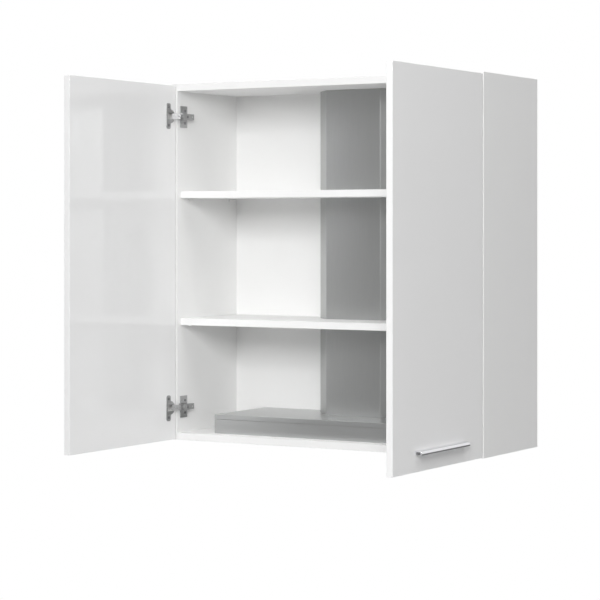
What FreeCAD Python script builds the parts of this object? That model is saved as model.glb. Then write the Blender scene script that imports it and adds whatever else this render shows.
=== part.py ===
"""Range hood cabinet: a wall cabinet with two doors, two shelves and a chimney hood.

Millimetres. +X is right, the front faces -Y, the wall is the plane y = 0, and +Z is up.
The origin is the middle of the cabinet's lower rear edge. Both doors stand open at 90 degrees.
Pieces on the right are built first; their twins on the left are mirrored across x = 0.
"""
import FreeCAD, Part
import math
import os

V = FreeCAD.Vector

# Cabinet carcass
cabinet_width = 900.0
cabinet_height = 920.0
cabinet_depth = 304.0
board = 18.0
edge_round = 0.8
same_place = 1e-6
back_thickness = 3.0
back_setback = 19.0
groove_depth = 9.0
groove_play = 0.1
groove_end_play = 0.8
shelf_thickness = 18.0
shelf_lower_height = 296.0
shelf_upper_height = 625.0
shelf_setback = 15.0
shelf_play = 0.4
shelf_notch_play = 2.0

# Carcass fittings
pin_play = 0.05
dowel_radius = 4.0
dowel_in_side = 11.0
dowel_in_panel = 19.0
dowel_inset = 82.0
cam_radius = 7.5
cam_height = 12.5
cam_inset = 46.0
cam_reach = 34.0
cam_bolt_radius = 3.0
cam_bolt_in_side = 11.0
bore_end_play = 0.5
shelf_pin_radius = 2.5
shelf_pin_in_side = 9.0
shelf_pin_reach = 8.0
shelf_pin_inset = 40.0
hanger_length = 58.0
hanger_height = 40.0
hanger_thickness = 2.0
hanger_top_gap = 30.0
hanger_side_cover = 16.5
hanger_hole_radius = 4.5
hanger_hole_inset = 14.0
hanger_screw_radius = 2.0
hanger_screw_length = 28.0
hanger_screw_spacing = 22.0

# Doors
door_thickness = 16.0
door_reveal = 1.5
door_middle_gap = 3.0
door_bottom_gap = 2.0
door_top_gap = 4.0
door_closed_gap = 2.0
door_open_gap = 5.5
door_round = 1.0

# Handles: a plate with a round nose on a flange, open below, with a lip that fingers hook behind
handle_length = 240.0
handle_top_rise = 49.0
handle_height = 10.0
handle_projection = 18.5
handle_nose = 8.0
handle_plate = 3.0
handle_flange = 4.0
handle_lip = 4.0
handle_lip_round = 1.0
handle_boss_radius = 3.6
handle_boss_reach = 11.0
handle_boss_drop = 6.2
handle_screw_inset = 28.0
handle_screw_radius = 2.0
handle_screw_grip = 9.0
handle_head_radius = 4.0
handle_head_height = 2.2

# Cup hinges: pin places are measured from the door's hinge edge and inner face
hinge_end_distance = 84.0
cup_radius = 17.5
cup_depth = 12.0
cup_edge_distance = 20.5
cup_play = 0.1
cup_slot_half = 8.0
cup_slot_depth = 11.0
cup_gate_depth = 5.0
cup_wall = 1.2
flange_length = 66.0
flange_width = 18.0
flange_edge_distance = 32.0
flange_thickness = 1.5
flange_corner = 6.0
flange_screw_spacing = 48.0
neck_half_base = 20.0
neck_half_tip = 11.0
neck_edge_distance = 8.0
door_pin_edge_distance = 10.0
door_pin_depth = 3.0
arm_pin_distance = 25.0
hinge_pin_radius = 1.5
link_half_width = 2.2
link_half_height = 7.0
arm_tongue_radius = 3.2
arm_tongue_half = 2.0
fork_play = 0.25
fork_swing_play = 1.6
arm_half_height = 7.5
arm_wall = 1.5
arm_top_offset = 3.5
arm_foot_offset = 6.5
arm_start = 2.0
arm_front_block = 4.5
arm_tail = 52.0
arm_hole_radius = 2.4
arm_hole_inset = 6.0
arm_play = 0.2
plate_thickness = 2.5
plate_start = 7.0
plate_end = 42.0
plate_body_half = 9.0
wing_start = 12.0
wing_length = 56.0
plate_screw_distance = 32.0
plate_screw_spacing = 32.0
plate_hole_distance = 16.0
plate_hole_radius = 1.6
arm_screw_distance = 16.0
hinge_screw_radius = 2.0
hinge_screw_length = 12.0
hinge_head_radius = 3.6
hinge_head_height = 1.6

# Hood casing
sheet = 1.2
hood_half_width = 340.0
hood_reach = 268.0
hood_height = 49.0
hood_lip = 12.0
hood_seam = 0.6
wall_play = 0.3
intake_side_rim = 30.0
intake_front_rim = 28.0
intake_rear_rim = 30.0
intake_corner = 10.0
fascia_return = 14.0
hood_screw_inset = 14.0
wood_screw_radius = 2.0
wood_screw_length = 13.0
wood_head_radius = 3.6
wood_head_height = 2.0

# Grease filters, lamps and push buttons under the hood
filter_side_inset = 94.0
filter_depth = 150.0
filter_thickness = 8.0
filter_middle_gap = 12.0
filter_rear_distance = 48.0
filter_play = 0.8
filter_frame = 11.0
filter_mesh = 4.0
filter_pin_radius = 2.0
filter_pin_reach = 3.4
ear_thickness = 2.0
ear_half_width = 5.0
ear_rise = 7.3
pull_width = 60.0
pull_drop = 5.0
pull_round = 1.6
lamp_side_inset = 62.0
lamp_from_front = 123.0
lamp_rim_radius = 24.0
lamp_rim_height = 2.0
lamp_body_radius = 20.0
lamp_body_height = 16.0
lamp_lens_radius = 17.0
lamp_lens_height = 1.2
lamp_play = 0.3
button_count = 4
button_pitch = 13.0
button_radius = 4.0
button_drop = 4.0
button_flange_radius = 5.0
button_flange_height = 1.5
button_play = 0.2
button_travel = 2.5
button_from_front = 63.0
switch_wall = 2.0
switch_height = 12.0

# Chimney cover, blower and duct
chimney_half_width = 122.0
chimney_reach = 143.0
chimney_chamfer = 43.0
chimney_sheet = 1.0
chimney_flange = 14.0
fan_rise = 66.0
fan_housing_radius = 54.0
fan_housing_half = 52.0
fan_wall = 1.5
fan_outlet_rise = 75.0
fan_inlet_radius = 32.0
air_way_half = 40.0
fan_foot_thickness = 3.0
fan_foot_half = 45.0
fan_collar_height = 14.0
impeller_radius = 40.0
impeller_half = 40.0
blade_count = 24
blade_depth = 10.0
blade_thickness = 1.2
impeller_ring = 1.6
impeller_disc = 2.4
impeller_hub_radius = 9.0
impeller_hub_half = 12.0
shaft_radius = 3.0
shaft_past_hub = 6.0
motor_radius = 24.0
motor_length = 40.0
motor_gap = 6.0
motor_leg_count = 3
motor_leg_width = 6.0
motor_leg_thickness = 4.0
motor_leg_reach = 38.0
duct_radius = 50.0
duct_wall = 1.2
pipe_wall = 0.8
pipe_play = 0.2
pipe_top_gap = 5.0
duct_hole_play = 1.0
collar_rise = 14.0
collar_flange_radius = 66.0
collar_flange_thickness = 1.5
collar_screw_count = 4
collar_screw_circle = 59.0
flap_pin_radius = 1.5
flap_pin_rise = 7.0
flap_thickness = 1.2
flap_knuckle_radius = 3.0
flap_plate_start = 4.5
flap_rim_play = 1.0
flap_knuckle_length = 14.0
flap_knuckle_play = 0.4
flap_seat_width = 2.6

# Places worked out from the sizes above
half_width = cabinet_width / 2
inner_half = half_width - board
front = -cabinet_depth
back_face = -(back_setback + back_thickness)
panel_top = cabinet_height - board
door_width = (cabinet_width - 2 * door_reveal - door_middle_gap) / 2
door_end = front - door_open_gap
door_inner = half_width - door_thickness
door_middle = door_end - door_width / 2
hinge_heights = (hinge_end_distance, cabinet_height - hinge_end_distance)
hood_front = -hood_reach
hood_rear = back_face - wall_play
hood_floor = board
hood_floor_top = hood_floor + sheet
hood_top = hood_floor + hood_height
lip_bottom = hood_top - hood_lip
chimney_front = -chimney_reach
duct_y = (chimney_front + back_face) / 2
fan_z = hood_top + fan_rise
fan_outlet = fan_z + fan_outlet_rise
pipe_outer = duct_radius - duct_wall - pipe_play
pipe_inner = pipe_outer - pipe_wall
filter_axis_y = back_face - filter_rear_distance
filter_axis_z = hood_floor + filter_thickness / 2
lamp_x = hood_half_width - lamp_side_inset
flap_axis_z = cabinet_height + flap_pin_rise


def block(x0, x1, y0, y1, z0, z1):
    """A box between two opposite corners."""
    return Part.makeBox(x1 - x0, y1 - y0, z1 - z0, V(x0, y0, z0))


def rod(radius, start, end):
    """A round rod between two points."""
    axis = end - start
    return Part.makeCylinder(radius, axis.Length, start, axis)


def mirrored(shape):
    """The left-hand twin of a right-hand shape."""
    return shape.mirror(V(0, 0, 0), V(1, 0, 0))


def group(solids):
    """Separate solids kept together in one node."""
    return Part.makeCompound(solids)


def prism(points, direction):
    """A flat outline carried along a direction."""
    outline = Part.makePolygon(points + [points[0]])
    return Part.Face(outline).extrude(direction)


def rounded_edges(shape, radius, wanted):
    """Round the straight edges that the test picks."""
    edges = [edge for edge in shape.Edges if wanted(edge.BoundBox)]
    return shape.makeFillet(radius, edges)


def front_rounded(shape, y):
    """Soften the edge band along a board's front face."""
    return rounded_edges(shape, edge_round, lambda b: abs(b.YMin - y) + abs(b.YMax - y) < same_place)


def save(name, shape):
    """Write one piece to its own file."""
    shape.exportStep("parts/" + name + ".step")


def save_pair(name, right):
    """Write a right-hand piece and its mirrored left-hand twin."""
    save(name + "_right", right)
    save(name + "_left", mirrored(right))


# Carcass joints: cams and dowels at both ends of the top and bottom panels
def joint_rows():
    """Depth places of the cams and of the dowels, front and rear."""
    cams = (front + cam_inset, -cam_inset)
    dowels = (front + dowel_inset, -dowel_inset)
    return cams, dowels


def joint_heights():
    """Middle heights of the bottom and top panels, with the way to their hidden faces."""
    return ((board / 2, 0.0, 1.0), (cabinet_height - board / 2, cabinet_height, -1.0))


def joint_fittings(play, end_play):
    """Dowels, cam bolts and cams on the right, each grown by the given play."""
    cam_rows, dowel_rows = joint_rows()
    dowels, bolts, cams = [], [], []
    for height, face, inward in joint_heights():
        for y in dowel_rows:
            start = V(inner_half - dowel_in_panel - end_play, y, height)
            end = V(inner_half + dowel_in_side + end_play, y, height)
            dowels.append(rod(dowel_radius + play, start, end))
        for y in cam_rows:
            start = V(inner_half - cam_reach, y, height)
            end = V(inner_half + cam_bolt_in_side + end_play, y, height)
            bolts.append(rod(cam_bolt_radius + play, start, end))
            base = V(inner_half - cam_reach, y, face)
            cams.append(rod(cam_radius + play, base, base + V(0, 0, inward * (cam_height + end_play))))
    return dowels, bolts, cams


def joint_bores():
    """Everything bored out of the boards for the right-hand joints."""
    dowels, bolts, cams = joint_fittings(pin_play, bore_end_play)
    return dowels + bolts + cams


def shelf_pin_places(height):
    """Axis places of a shelf's two right-hand pins, under its lower face."""
    z = height - shelf_pin_radius
    rows = (front + shelf_setback + shelf_pin_inset, back_face - shelf_pin_inset)
    return [(y, z) for y in rows]


def shelf_pin_rods(height, play, end_play):
    """The right-hand pins of one shelf, or their bores."""
    rods = []
    for y, z in shelf_pin_places(height):
        start = V(inner_half - shelf_pin_reach, y, z)
        end = V(inner_half + shelf_pin_in_side + end_play, y, z)
        rods.append(rod(shelf_pin_radius + play, start, end))
    return rods


def back_groove_depths():
    """Front and rear of the groove that holds the back panel."""
    return back_face - groove_play, -back_setback + groove_play


# Wall hangers: steel ears let into the rear edges of the side panels
def hanger_range():
    """The ear's width and height on the right."""
    x1 = inner_half + hanger_side_cover
    z1 = cabinet_height - hanger_top_gap
    return x1 - hanger_length, x1, z1 - hanger_height, z1


def hanger_screw_places():
    """Both screws of the right-hand ear, in the side panel's rear edge beside the groove."""
    z0, z1 = hanger_range()[2:]
    middle = (z0 + z1) / 2
    x = inner_half + (groove_depth + hanger_side_cover) / 2
    return [V(x, 0, middle + step * hanger_screw_spacing / 2) for step in (-1, 1)]


def hanger_screw_rods(play):
    """The right-hand ear's screws, or their bores."""
    length = V(0, -hanger_screw_length, 0)
    return [rod(hanger_screw_radius + play, place, place + length) for place in hanger_screw_places()]


def make_hangers():
    x0, x1, z0, z1 = hanger_range()
    ear = block(x0, x1, -hanger_thickness, 0, z0, z1)
    hole = V(x0 + hanger_hole_inset, 0, (z0 + z1) / 2)
    cuts = [rod(hanger_hole_radius, hole, hole - V(0, hanger_thickness, 0))]
    save_pair("hanger_plate", ear.cut(cuts + hanger_screw_rods(pin_play)))
    screws = hanger_screw_rods(0)
    save("hanger_screws", group(screws + [mirrored(screw) for screw in screws]))


def make_side_panels():
    side = block(inner_half, half_width, front, 0, 0, cabinet_height)
    side = front_rounded(side, front)
    groove_front, groove_rear = back_groove_depths()
    cuts = [block(inner_half, inner_half + groove_depth, groove_front, groove_rear,
                  board - groove_depth, panel_top + groove_depth)]
    cuts += joint_bores()
    for height in (shelf_lower_height, shelf_upper_height):
        cuts += shelf_pin_rods(height, pin_play, bore_end_play)
    x1, z0, z1 = hanger_range()[1:]
    cuts.append(block(inner_half, x1 + groove_play, -hanger_thickness, 0,
                      z0 - groove_play, z1 + groove_play))
    cuts += hanger_screw_rods(pin_play)
    for z in hinge_heights:
        cuts += hinge_screw_bores(plate_screw_places(z))
    save_pair("side_panel", side.cut(cuts))


def make_top_panel():
    top = block(-inner_half, inner_half, front, 0, panel_top, cabinet_height)
    top = front_rounded(top, front)
    groove_front, groove_rear = back_groove_depths()
    bores = joint_bores()
    cuts = bores + [mirrored(bore) for bore in bores]
    cuts.append(block(-inner_half, inner_half, groove_front, groove_rear,
                      panel_top, panel_top + groove_depth))
    middle = V(0, duct_y, panel_top)
    cuts.append(rod(duct_radius + duct_hole_play, middle, middle + V(0, 0, board)))
    cuts += wood_screw_rods(collar_screw_places(), pin_play)
    save("top_panel", top.cut(cuts))


def make_bottom_panel():
    bottom = block(-inner_half, inner_half, front, 0, 0, board)
    bottom = front_rounded(bottom, front)
    groove_front, groove_rear = back_groove_depths()
    bores = joint_bores()
    cuts = bores + [mirrored(bore) for bore in bores]
    cuts.append(block(-inner_half, inner_half, groove_front, groove_rear, board - groove_depth, board))
    x, y0, y1 = intake_range()
    intake = block(-x, x, y0, y1, 0, board)
    cuts.append(rounded_edges(intake, intake_corner, lambda b: b.ZLength > board - same_place))
    cuts += wood_screw_rods(hood_screw_places(), pin_play)
    save("bottom_panel", bottom.cut(cuts))


def make_back_panel():
    into = groove_depth - groove_end_play
    reach = inner_half + into
    save("back_panel", block(-reach, reach, back_face, -back_setback, board - into, panel_top + into))


def chimney_prism(grow, rear, z0, z1):
    """The chimney's plan with chamfered front corners, grown all round and carried upwards."""
    half = chimney_half_width + grow
    reach = chimney_front - grow
    leg = chimney_chamfer + (2 - math.sqrt(2)) * grow
    points = [V(-half, rear, z0), V(-half, reach + leg, z0), V(-half + leg, reach, z0),
              V(half - leg, reach, z0), V(half, reach + leg, z0), V(half, rear, z0)]
    return prism(points, V(0, 0, z1 - z0))


def make_shelves():
    pins = []
    for name, height in (("lower", shelf_lower_height), ("upper", shelf_upper_height)):
        x = inner_half - shelf_play
        y = front + shelf_setback
        shelf = block(-x, x, y, back_face - shelf_play, height, height + shelf_thickness)
        shelf = front_rounded(shelf, y)
        notch = chimney_prism(shelf_notch_play, back_face, height, height + shelf_thickness)
        save("shelf_" + name, shelf.cut(notch))
        pins += shelf_pin_rods(height, 0, 0)
    save("shelf_pins", group(pins + [mirrored(pin) for pin in pins]))


def make_carcass_fittings():
    dowels, bolts, cams = joint_fittings(0, 0)
    bolt_bores = joint_fittings(pin_play, 0)[1]
    drilled = [cam.cut(bore) for cam, bore in zip(cams, bolt_bores)]
    for name, solids in (("carcass_dowels", dowels), ("cam_bolts", bolts), ("cam_locks", drilled)):
        save(name, group(solids + [mirrored(solid) for solid in solids]))


# Cup hinges: an arm on the side panel, a link, and a cup let into the door
def hinge_pins():
    """Plan places of the arm pin and of the door pin while the door stands open.

    The door's open and closed places fix the pole of its quarter turn. The arm pin lies on the
    ray from that pole which keeps the link as long at both ends of the turn.
    """
    closed_end = half_width - door_reveal
    closed_outer = front - door_closed_gap - door_thickness
    pole_x = (closed_end + closed_outer + half_width - door_end) / 2
    pole_y = (closed_outer + half_width - closed_end + door_end) / 2
    closed_x = closed_end - door_pin_edge_distance
    closed_y = front - door_closed_gap - door_pin_depth
    angle = math.atan2(closed_y - pole_y, closed_x - pole_x) + math.pi / 4
    arm_pin = V(pole_x + arm_pin_distance * math.cos(angle), pole_y + arm_pin_distance * math.sin(angle), 0)
    door_pin = V(door_inner + door_pin_depth, door_end - door_pin_edge_distance, 0)
    return arm_pin, door_pin


def upright(radius, place, z, half):
    """A rod standing at a plan place, the same height above and below z."""
    return rod(radius, V(place.x, place.y, z - half), V(place.x, place.y, z + half))


def plate_screw_places(z):
    """Both screws that hold one mounting plate to the side panel."""
    x, y = inner_half - plate_thickness, front + plate_screw_distance
    return [V(x, y, z + step * plate_screw_spacing / 2) for step in (-1, 1)]


def hinge_screw(place):
    """A hinge screw driven outwards from a place on a plate's face, with its round head."""
    shank = rod(hinge_screw_radius, place, place + V(hinge_screw_length, 0, 0))
    head = rod(hinge_head_radius, place, place - V(hinge_head_height, 0, 0))
    return shank.fuse(head)


def hinge_screw_bores(places):
    """Bores for hinge screws at the given places."""
    end = V(hinge_screw_length, 0, 0)
    return [rod(hinge_screw_radius + pin_play, place, place + end) for place in places]


def arm_faces():
    """Inner and foot faces of the hinge arm, from the arm pin."""
    arm_pin = hinge_pins()[0]
    return arm_pin.x - arm_top_offset, arm_pin.x + arm_foot_offset


def arm_screw_place(z):
    """The screw that clamps the arm to its mounting plate."""
    return V(arm_faces()[0], front + plate_start + arm_screw_distance, z)


def mounting_plate(z):
    """A wing plate with the raised block that the arm slides over."""
    x0 = inner_half - plate_thickness
    y0, y1 = front + plate_start, front + plate_end
    body = block(x0, inner_half, y0, y1, z - plate_body_half, z + plate_body_half)
    wing = block(x0, inner_half, front + wing_start, y1, z - wing_length / 2, z + wing_length / 2)
    half = arm_half_height - arm_wall - arm_play
    top = arm_faces()[0] + arm_wall + arm_play
    raised = block(top, x0, y0, y1, z - half, z + half)
    plate = body.fuse([wing, raised]).removeSplitter()
    screw_places = plate_screw_places(z)
    towards_door = V(0, plate_hole_distance - plate_screw_distance, 0)
    holes = [rod(plate_hole_radius, place + towards_door, place + towards_door + V(plate_thickness, 0, 0))
             for place in screw_places]
    return plate.cut(hinge_screw_bores(screw_places + [arm_screw_place(z)]) + holes)


def hinge_arm(z):
    """A channel over the plate's block, with a tongue that carries the link."""
    arm_pin = hinge_pins()[0]
    face, foot = arm_faces()
    start, tail = front + arm_start, front + arm_tail
    channel = block(face, foot, start, tail, z - arm_half_height, z + arm_half_height)
    half = arm_half_height - arm_wall
    hollow = block(face + arm_wall, foot, start + arm_front_block, tail, z - half, z + half)
    tongue = block(arm_pin.x - arm_tongue_radius, arm_pin.x + arm_tongue_radius,
                   arm_pin.y, start + arm_front_block, z - arm_tongue_half, z + arm_tongue_half)
    nose = upright(arm_tongue_radius, arm_pin, z, arm_tongue_half)
    arm = channel.cut(hollow).fuse([tongue, nose]).removeSplitter()
    hole = V(face, tail - arm_hole_inset, z)
    cuts = [rod(arm_hole_radius, hole, hole + V(arm_wall, 0, 0)),
            upright(hinge_pin_radius + pin_play, arm_pin, z, arm_tongue_half)]
    return arm.cut(cuts + hinge_screw_bores([arm_screw_place(z)]))


def hinge_link(z):
    """A short bar from the arm pin to the door pin, forked over the arm's tongue."""
    arm_pin, door_pin = hinge_pins()
    along = (door_pin - arm_pin).normalize()
    across = V(-along.y, along.x, 0) * link_half_width
    base = V(0, 0, z - link_half_height)
    corners = [arm_pin + across, door_pin + across, door_pin - across, arm_pin - across]
    bar = prism([corner + base for corner in corners], V(0, 0, 2 * link_half_height))
    ends = [upright(link_half_width, pin, z, link_half_height) for pin in (arm_pin, door_pin)]
    link = bar.fuse(ends).removeSplitter()
    fork = upright(arm_tongue_radius + fork_swing_play, arm_pin, z, arm_tongue_half + fork_play)
    holes = [upright(hinge_pin_radius + pin_play, pin, z, link_half_height) for pin in (arm_pin, door_pin)]
    return link.cut([fork] + holes)


def cup_middle(z):
    """Where the cup's axis meets the door's inner face."""
    return V(door_inner, door_end - cup_edge_distance, z)


def flange_screw_places(z):
    """Both screws of one cup flange."""
    x, y = door_inner - flange_thickness, door_end - flange_edge_distance
    return [V(x, y, z + step * flange_screw_spacing / 2) for step in (-1, 1)]


def flange_neck(z):
    """The flange's tapered part, from its middle over the cup towards the door's hinge edge."""
    x = door_inner - flange_thickness
    base, tip = door_end - flange_edge_distance, door_end - neck_edge_distance
    corners = [V(x, base, z - neck_half_base), V(x, tip, z - neck_half_tip),
               V(x, tip, z + neck_half_tip), V(x, base, z + neck_half_base)]
    return prism(corners, V(flange_thickness, 0, 0))


def hinge_cup(z):
    """A round cup in the door with a slot for the link, and a flange on the inner face."""
    door_pin = hinge_pins()[1]
    middle = cup_middle(z)
    pot = rod(cup_radius - cup_play, middle, middle + V(cup_depth, 0, 0))
    y = door_end - flange_edge_distance
    plate = block(door_inner - flange_thickness, door_inner, y - flange_width / 2, y + flange_width / 2,
                  z - flange_length / 2, z + flange_length / 2)
    plate = rounded_edges(plate, flange_corner, lambda b: b.XLength > flange_thickness - same_place)
    cup = pot.fuse([plate, flange_neck(z)]).removeSplitter()
    bowl = rod(cup_radius - cup_play - cup_wall, middle, middle + V(cup_slot_depth, 0, 0))
    slot = block(door_inner, door_inner + cup_slot_depth,
                 middle.y - cup_radius, middle.y + cup_radius, z - cup_slot_half, z + cup_slot_half)
    mouth = block(door_inner - flange_thickness, door_inner, middle.y - cup_radius + cup_wall, door_end,
                  z - cup_slot_half, z + cup_slot_half)
    gate = block(door_inner, door_inner + cup_gate_depth, middle.y, door_end,
                 z - cup_slot_half, z + cup_slot_half)
    pin_bore = upright(hinge_pin_radius + pin_play, door_pin, z, door_pin_half())
    cuts = [bowl.common(slot), mouth, gate, pin_bore]
    return cup.cut(cuts + hinge_screw_bores(flange_screw_places(z)))


def door_pin_half():
    """Half length of the door pin, seated in both cheeks of the cup's slot."""
    offset = cup_edge_distance - door_pin_edge_distance
    chord = math.sqrt((cup_radius - cup_play) ** 2 - (offset + hinge_pin_radius) ** 2)
    return (cup_slot_half + chord) / 2


def make_hinges():
    arm_pin, door_pin = hinge_pins()
    plates, arms, links, cups = [], [], [], []
    arm_pins, door_pins, plate_screws, cup_screws = [], [], [], []
    for z in hinge_heights:
        plates.append(mounting_plate(z))
        arms.append(hinge_arm(z))
        links.append(hinge_link(z))
        cups.append(hinge_cup(z))
        arm_pins.append(upright(hinge_pin_radius, arm_pin, z, link_half_height))
        door_pins.append(upright(hinge_pin_radius, door_pin, z, door_pin_half()))
        plate_screws += [hinge_screw(place) for place in plate_screw_places(z) + [arm_screw_place(z)]]
        cup_screws += [hinge_screw(place) for place in flange_screw_places(z)]
    save_pair("hinge_plates", group(plates))
    save_pair("hinge_arms", group(arms))
    save_pair("hinge_links", group(links))
    save_pair("hinge_cups", group(cups))
    save_pair("hinge_arm_pins", group(arm_pins))
    save_pair("hinge_door_pins", group(door_pins))
    save_pair("hinge_cup_screws", group(cup_screws))
    save("hinge_plate_screws", group(plate_screws + [mirrored(screw) for screw in plate_screws]))


# Doors and handles
def handle_screw_places():
    """Where the handle's screws leave the door's outer face."""
    z = door_bottom_gap + handle_top_rise - handle_boss_drop
    reach = handle_length / 2 - handle_screw_inset
    return [V(half_width, door_middle + step * reach, z) for step in (-1, 1)]


def handle_screw(place, play):
    """A screw through the door into a boss, with its head sunk in the inner face."""
    start = place - V(door_thickness, 0, 0)
    shank = rod(handle_screw_radius + play, start, place + V(handle_screw_grip + play, 0, 0))
    head = rod(handle_head_radius + play, start, start + V(handle_head_height, 0, 0))
    return shank.fuse(head).removeSplitter()


def make_doors():
    door = block(door_inner, half_width, door_end - door_width, door_end,
                 door_bottom_gap, cabinet_height - door_top_gap)
    door = door.makeFillet(door_round, door.Edges)
    cuts = [handle_screw(place, pin_play) for place in handle_screw_places()]
    for z in hinge_heights:
        middle = cup_middle(z)
        cuts.append(rod(cup_radius, middle, middle + V(cup_depth + cup_play, 0, 0)))
        cuts += hinge_screw_bores(flange_screw_places(z))
    save_pair("door", door.cut(cuts))


def make_handles():
    outer = half_width + handle_projection
    top = door_bottom_gap + handle_top_rise
    bottom = top - handle_height
    start, end = (door_middle + step * handle_length / 2 for step in (-1, 1))
    shell = block(half_width, outer, start, end, bottom, top)
    shell = rounded_edges(shell, handle_nose,
                          lambda b: b.XMin > outer - same_place and b.ZMin > top - same_place)
    hollow = block(half_width + handle_flange, outer - handle_lip, start, end, bottom, top - handle_plate)
    shell = rounded_edges(shell.cut(hollow), handle_lip_round,
                          lambda b: b.YLength > handle_length / 2 and b.ZMax < bottom + same_place
                          and b.XMin > outer - handle_lip - same_place)
    places = handle_screw_places()
    bosses = [rod(handle_boss_radius, place, place + V(handle_boss_reach, 0, 0)) for place in places]
    bores = [handle_screw(place, pin_play) for place in places]
    save_pair("handle", shell.fuse(bosses).removeSplitter().cut(bores))
    save_pair("handle_screws", group([handle_screw(place, 0) for place in places]))


# Hood casing
def intake_range():
    """Half width, front and rear of the opening in the bottom panel under the hood."""
    return hood_half_width - intake_side_rim, hood_front + intake_front_rim, hood_rear - intake_rear_rim


def hood_screw_places():
    """Four places where the hood's floor is screwed to the bottom panel."""
    x = hood_half_width - hood_screw_inset
    rows = (hood_front + hood_screw_inset, hood_rear - hood_screw_inset)
    return [V(side * x, y, hood_floor_top) for side in (-1, 1) for y in rows]


def wood_screw_rods(places, play):
    """Wood screws driven straight down at the given places, or their bores."""
    down = V(0, 0, -wood_screw_length)
    return [rod(wood_screw_radius + play, place, place + down) for place in places]


def make_wood_screws():
    places = hood_screw_places() + collar_screw_places()
    rise = V(0, 0, wood_head_height)
    heads = [rod(wood_head_radius, place, place + rise) for place in places]
    shanks = wood_screw_rods(places, 0)
    save("wood_screws", group([shank.fuse(head) for shank, head in zip(shanks, heads)]))


def filter_range():
    """Left and right ends of the right-hand filter, with its front edge."""
    return filter_middle_gap / 2, hood_half_width - filter_side_inset, filter_axis_y - filter_depth


def filter_ears(x0, x1):
    """Upright ears on the hood's floor that hold one filter's pins."""
    ears = []
    y0, y1 = filter_axis_y - ear_half_width, filter_axis_y + ear_half_width
    for x in (x0 - filter_play - ear_thickness, x1 + filter_play):
        ear = block(x, x + ear_thickness, y0, y1, hood_floor_top, hood_floor_top + ear_rise)
        start = V(x, filter_axis_y, filter_axis_z)
        ears.append(ear.cut(rod(filter_pin_radius + pin_play, start, start + V(ear_thickness, 0, 0))))
    return ears


def lamp_place():
    return V(lamp_x, hood_front + lamp_from_front, hood_floor)


def button_places():
    """Middles of the push buttons on the hood's lower face."""
    y = hood_front + button_from_front
    first = lamp_x - (button_count - 1) * button_pitch / 2
    return [V(first + number * button_pitch, y, hood_floor) for number in range(button_count)]


def make_hood_body():
    """A folded tray: a floor with side and rear walls, open at the front and the top."""
    wall_top = lip_bottom - hood_seam
    tray = block(-hood_half_width, hood_half_width, hood_front, hood_rear, hood_floor, wall_top)
    hollow = block(-hood_half_width + sheet, hood_half_width - sheet, hood_front, hood_rear - sheet,
                   hood_floor_top, wall_top)
    x0, x1, y0 = filter_range()
    opening = block(x0 - filter_play, x1 + filter_play, y0 - filter_play,
                    filter_axis_y + filter_thickness / 2 + filter_play, hood_floor, hood_floor_top)
    lamp = lamp_place()
    lamp_hole = rod(lamp_body_radius + lamp_play, lamp, lamp + V(0, 0, sheet))
    cuts = [hollow, opening, mirrored(opening), lamp_hole, mirrored(lamp_hole)]
    cuts += wood_screw_rods(hood_screw_places(), pin_play)
    for place in button_places():
        cuts.append(rod(button_radius + button_play, place, place + V(0, 0, sheet)))
    ears = filter_ears(x0, x1)
    body = tray.cut(cuts).fuse(ears + [mirrored(ear) for ear in ears]).removeSplitter()
    save("hood_body", body)


def make_hood_fascia():
    """The plain front strip, with folded ends that sit inside the tray's walls."""
    x = hood_half_width - sheet - groove_play
    top = lip_bottom - hood_seam
    strip = block(-x, x, hood_front, hood_front + sheet, hood_floor_top, top)
    fold = block(x - sheet, x, hood_front, hood_front + fascia_return, hood_floor_top, top)
    save("hood_fascia", strip.fuse([fold, mirrored(fold)]).removeSplitter())


def fan_gap_blocks():
    """Air ways through the lid on both sides of the blower, inside the chimney."""
    x0 = fan_housing_half + fan_foot_thickness
    x1 = chimney_half_width - chimney_sheet - chimney_flange
    gap = block(x0, x1, duct_y - air_way_half, duct_y + air_way_half, lip_bottom, hood_top)
    return [gap, mirrored(gap)]


def make_hood_lid():
    """A shallow lid whose turned-down lip meets the tray with a fine seam."""
    lid = block(-hood_half_width, hood_half_width, hood_front, hood_rear, lip_bottom, hood_top)
    lid = rounded_edges(lid, edge_round, lambda b: b.ZMin > hood_top - same_place)
    hollow = block(-hood_half_width + sheet, hood_half_width - sheet, hood_front + sheet, hood_rear - sheet,
                   lip_bottom, hood_top - sheet)
    step = lip_step()
    save("hood_lid", lid.cut([hollow] + fan_gap_blocks()).fuse(step).removeSplitter())


def lip_step():
    """An inner ledge under the lid that drops behind the tray's walls and locates it."""
    x1 = hood_half_width - sheet - groove_play
    x0 = x1 - sheet
    y0 = hood_front + fascia_return + groove_play
    y1 = hood_rear - sheet - groove_play
    ledge = block(x0, x1, y0, y1, lip_bottom - hood_lip / 2, hood_top - sheet)
    return [ledge, mirrored(ledge)]


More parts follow.
